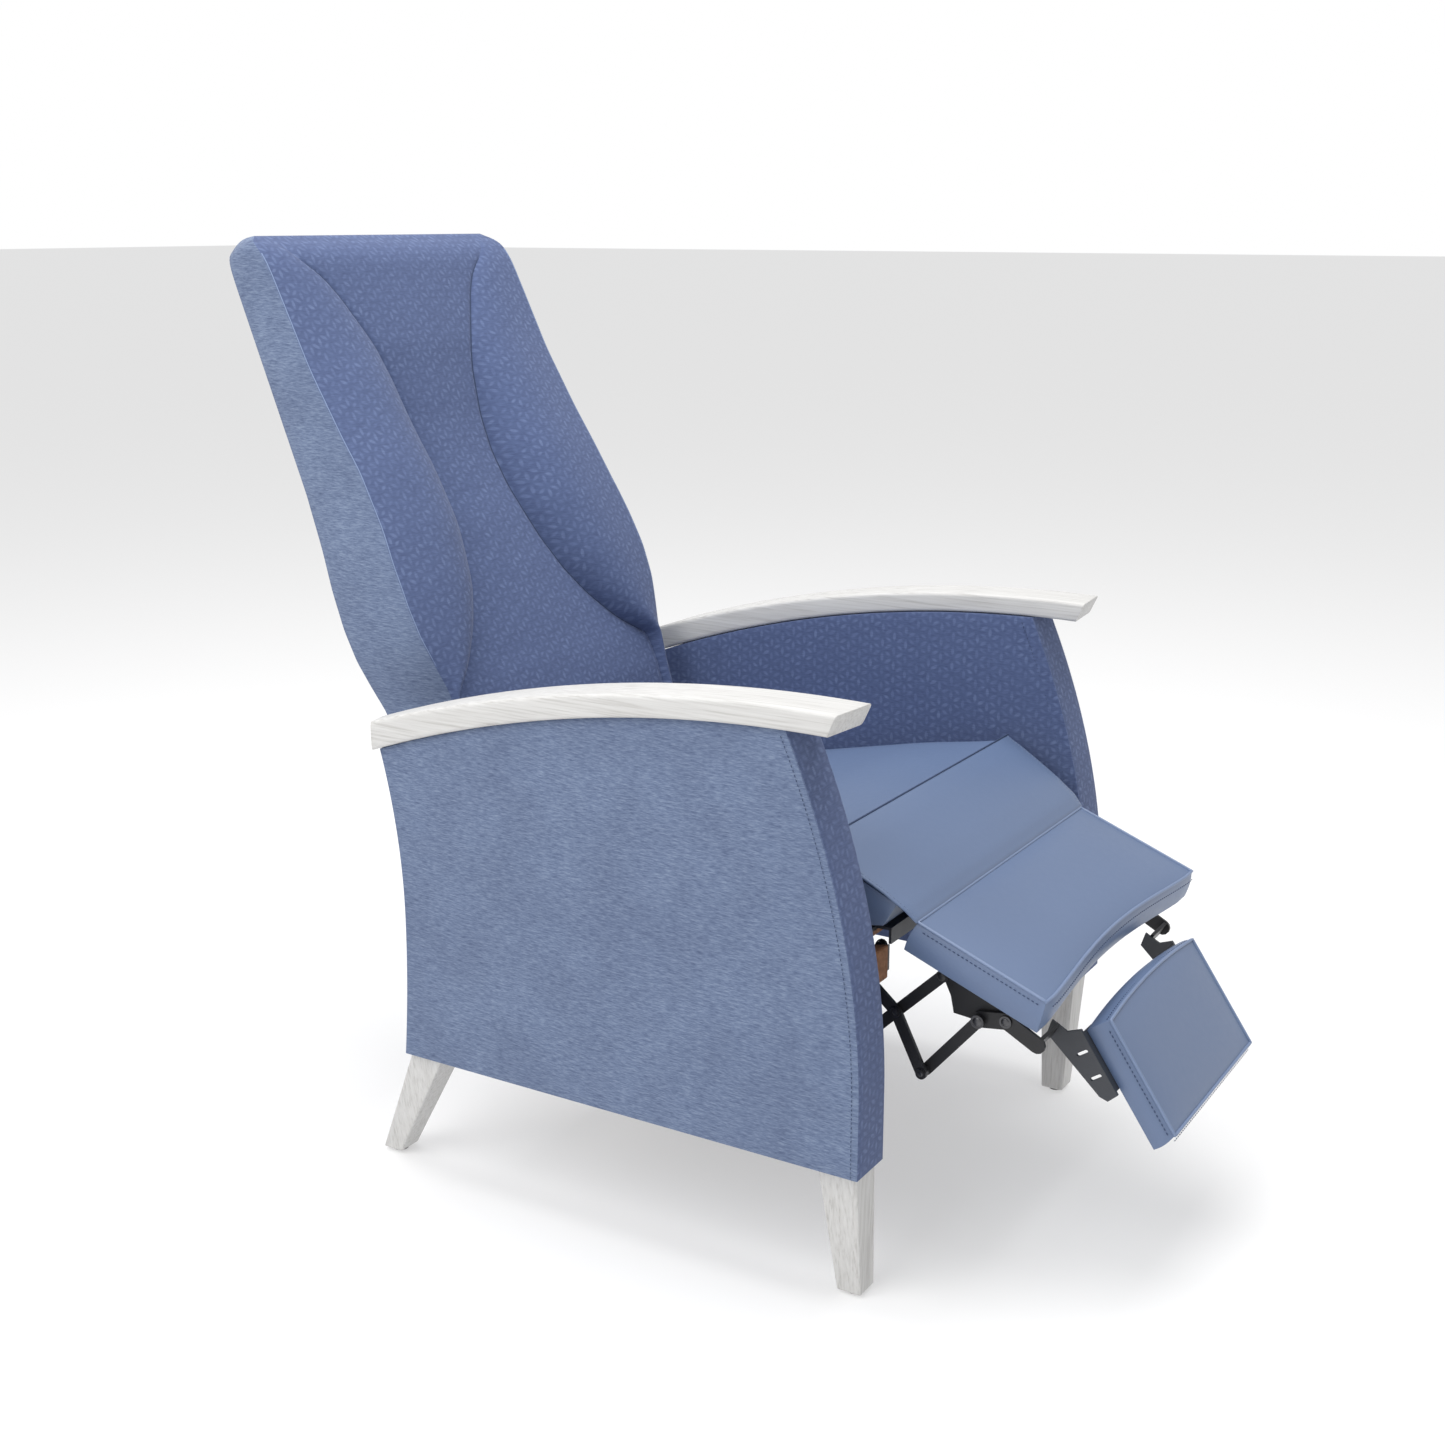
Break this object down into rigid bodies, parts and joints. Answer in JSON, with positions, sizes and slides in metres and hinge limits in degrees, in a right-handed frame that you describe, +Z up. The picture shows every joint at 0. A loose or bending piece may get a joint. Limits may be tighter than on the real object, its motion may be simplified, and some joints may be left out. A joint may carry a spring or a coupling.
{
  "type": "patient recliner chair",
  "caption": "Push-back patient recliner on tapered wooden legs: upholstered arm panels with curved wooden caps, contoured reclining back, gliding seat, folding leg rest and foot pad",
  "frame": {"origin": "on the floor, below the middle of the bounding box, with the back and the leg rest as they are at rest", "axes": "+Z up; the chair faces -Y; +X is the sitter's left-hand side"},
  "size_m": [0.71, 1.1977, 1.0959],
  "materials": {
    "heather_fabric": "woven, heathered",
    "pattern_fabric": "woven, tone-on-tone pattern",
    "vinyl": "smooth coated upholstery",
    "whitewashed_wood": "whitewashed, satin",
    "beech": "unfinished beech",
    "plywood": "unfinished plywood",
    "black_steel": "black enamel",
    "grey_steel": "dark grey enamel",
    "nylon": "moulded, matt",
    "webbing": "woven seat support"
  },
  "bodies": {
    "base": {"arm_cover_left": "heather_fabric", "arm_cover_right": "heather_fabric", "arm_frame_left": "plywood", "arm_frame_right": "plywood", "arm_cap_left": "whitewashed_wood", "arm_cap_right": "whitewashed_wood", "leg_front_left": "whitewashed_wood", "leg_front_right": "whitewashed_wood", "leg_rear_left": "whitewashed_wood", "leg_rear_right": "whitewashed_wood", "glide_front_left": "nylon", "glide_front_right": "nylon", "glide_rear_left": "nylon", "glide_rear_right": "nylon", "track_left": "black_steel", "track_right": "black_steel", "rear_cross_rail": "beech", "cross_tube": "black_steel"},
    "seat": {"seat_cushion": "vinyl", "seat_deck": "webbing", "seat_front_rail": "beech", "seat_rear_rail": "beech", "front_cross_angle": "grey_steel", "seat_side_rail_left": "beech", "seat_side_rail_right": "beech", "slider_left": "nylon", "slider_right": "nylon", "linkage_plate_left": "black_steel", "linkage_plate_right": "black_steel", "hinge_plate_left": "black_steel", "hinge_plate_right": "black_steel"},
    "back": {"back_cushion": "pattern_fabric", "back_panel": "heather_fabric", "back_board": "plywood", "back_strap_left": "black_steel", "back_strap_right": "black_steel", "back_pivot_bolt_left": "grey_steel", "back_pivot_bolt_right": "grey_steel"},
    "leg_rest": {"leg_cushion": "vinyl", "leg_board": "plywood", "leg_bracket_left": "black_steel", "leg_bracket_right": "black_steel"},
    "foot_pad": {"foot_cushion": "vinyl", "foot_board": "plywood", "foot_lever_left": "black_steel", "foot_lever_right": "black_steel", "slot_plate_left": "grey_steel", "slot_plate_right": "grey_steel"},
    "lift_links": {"lift_link_left": "black_steel", "lift_link_right": "black_steel"},
    "scissor_links": {"scissor_link_left": "black_steel", "scissor_link_right": "black_steel"},
    "pad_links": {"pad_link_left": "black_steel", "pad_link_right": "black_steel"}
  },
  "joints": [
    {"name": "back_recline", "type": "hinge", "parent": "seat", "child": "back", "pos_m": [0, 0.2881, 0.36], "axis": [-1, 0, 0], "range_deg": [-8, 25]},
    {"name": "seat_glide", "type": "slide", "parent": "base", "child": "seat", "axis": [0, -0.9903, 0.1392], "range_m": [-0.0145, 0.0445]},
    {"name": "leg_rest_lift", "type": "hinge", "parent": "seat", "child": "leg_rest", "pos_m": [0, -0.3389, 0.406], "axis": [-1, 0, 0], "range_deg": [-60, 18]},
    {"name": "foot_pad_fold", "type": "hinge", "parent": "leg_rest", "child": "foot_pad", "pos_m": [0, -0.4269, 0.307], "axis": [-1, 0, 0], "range_deg": [-61, 19]},
    {"name": "lift_link_swing", "type": "hinge", "parent": "seat", "child": "lift_links", "pos_m": [0, -0.2889, 0.37], "axis": [-1, 0, 0], "range_deg": [-44, 14]},
    {"name": "scissor_link_swing", "type": "hinge", "parent": "leg_rest", "child": "scissor_links", "pos_m": [0, -0.3579, 0.347], "axis": [-1, 0, 0], "range_deg": [-20, 65]},
    {"name": "pad_link_swing", "type": "hinge", "parent": "foot_pad", "child": "pad_links", "pos_m": [0, -0.3979, 0.303], "axis": [-1, 0, 0], "range_deg": [-37, 121]}
  ],
  "couplings": [
    {"joint": "seat_glide", "follows": "back_recline", "m_per_rad": 0.1},
    {"joint": "foot_pad_fold", "follows": "leg_rest_lift", "ratio": 1},
    {"joint": "lift_link_swing", "follows": "leg_rest_lift", "ratio": 0.718},
    {"joint": "scissor_link_swing", "follows": "leg_rest_lift", "ratio": -1.066},
    {"joint": "pad_link_swing", "follows": "leg_rest_lift", "ratio": -1.996}
  ]
}
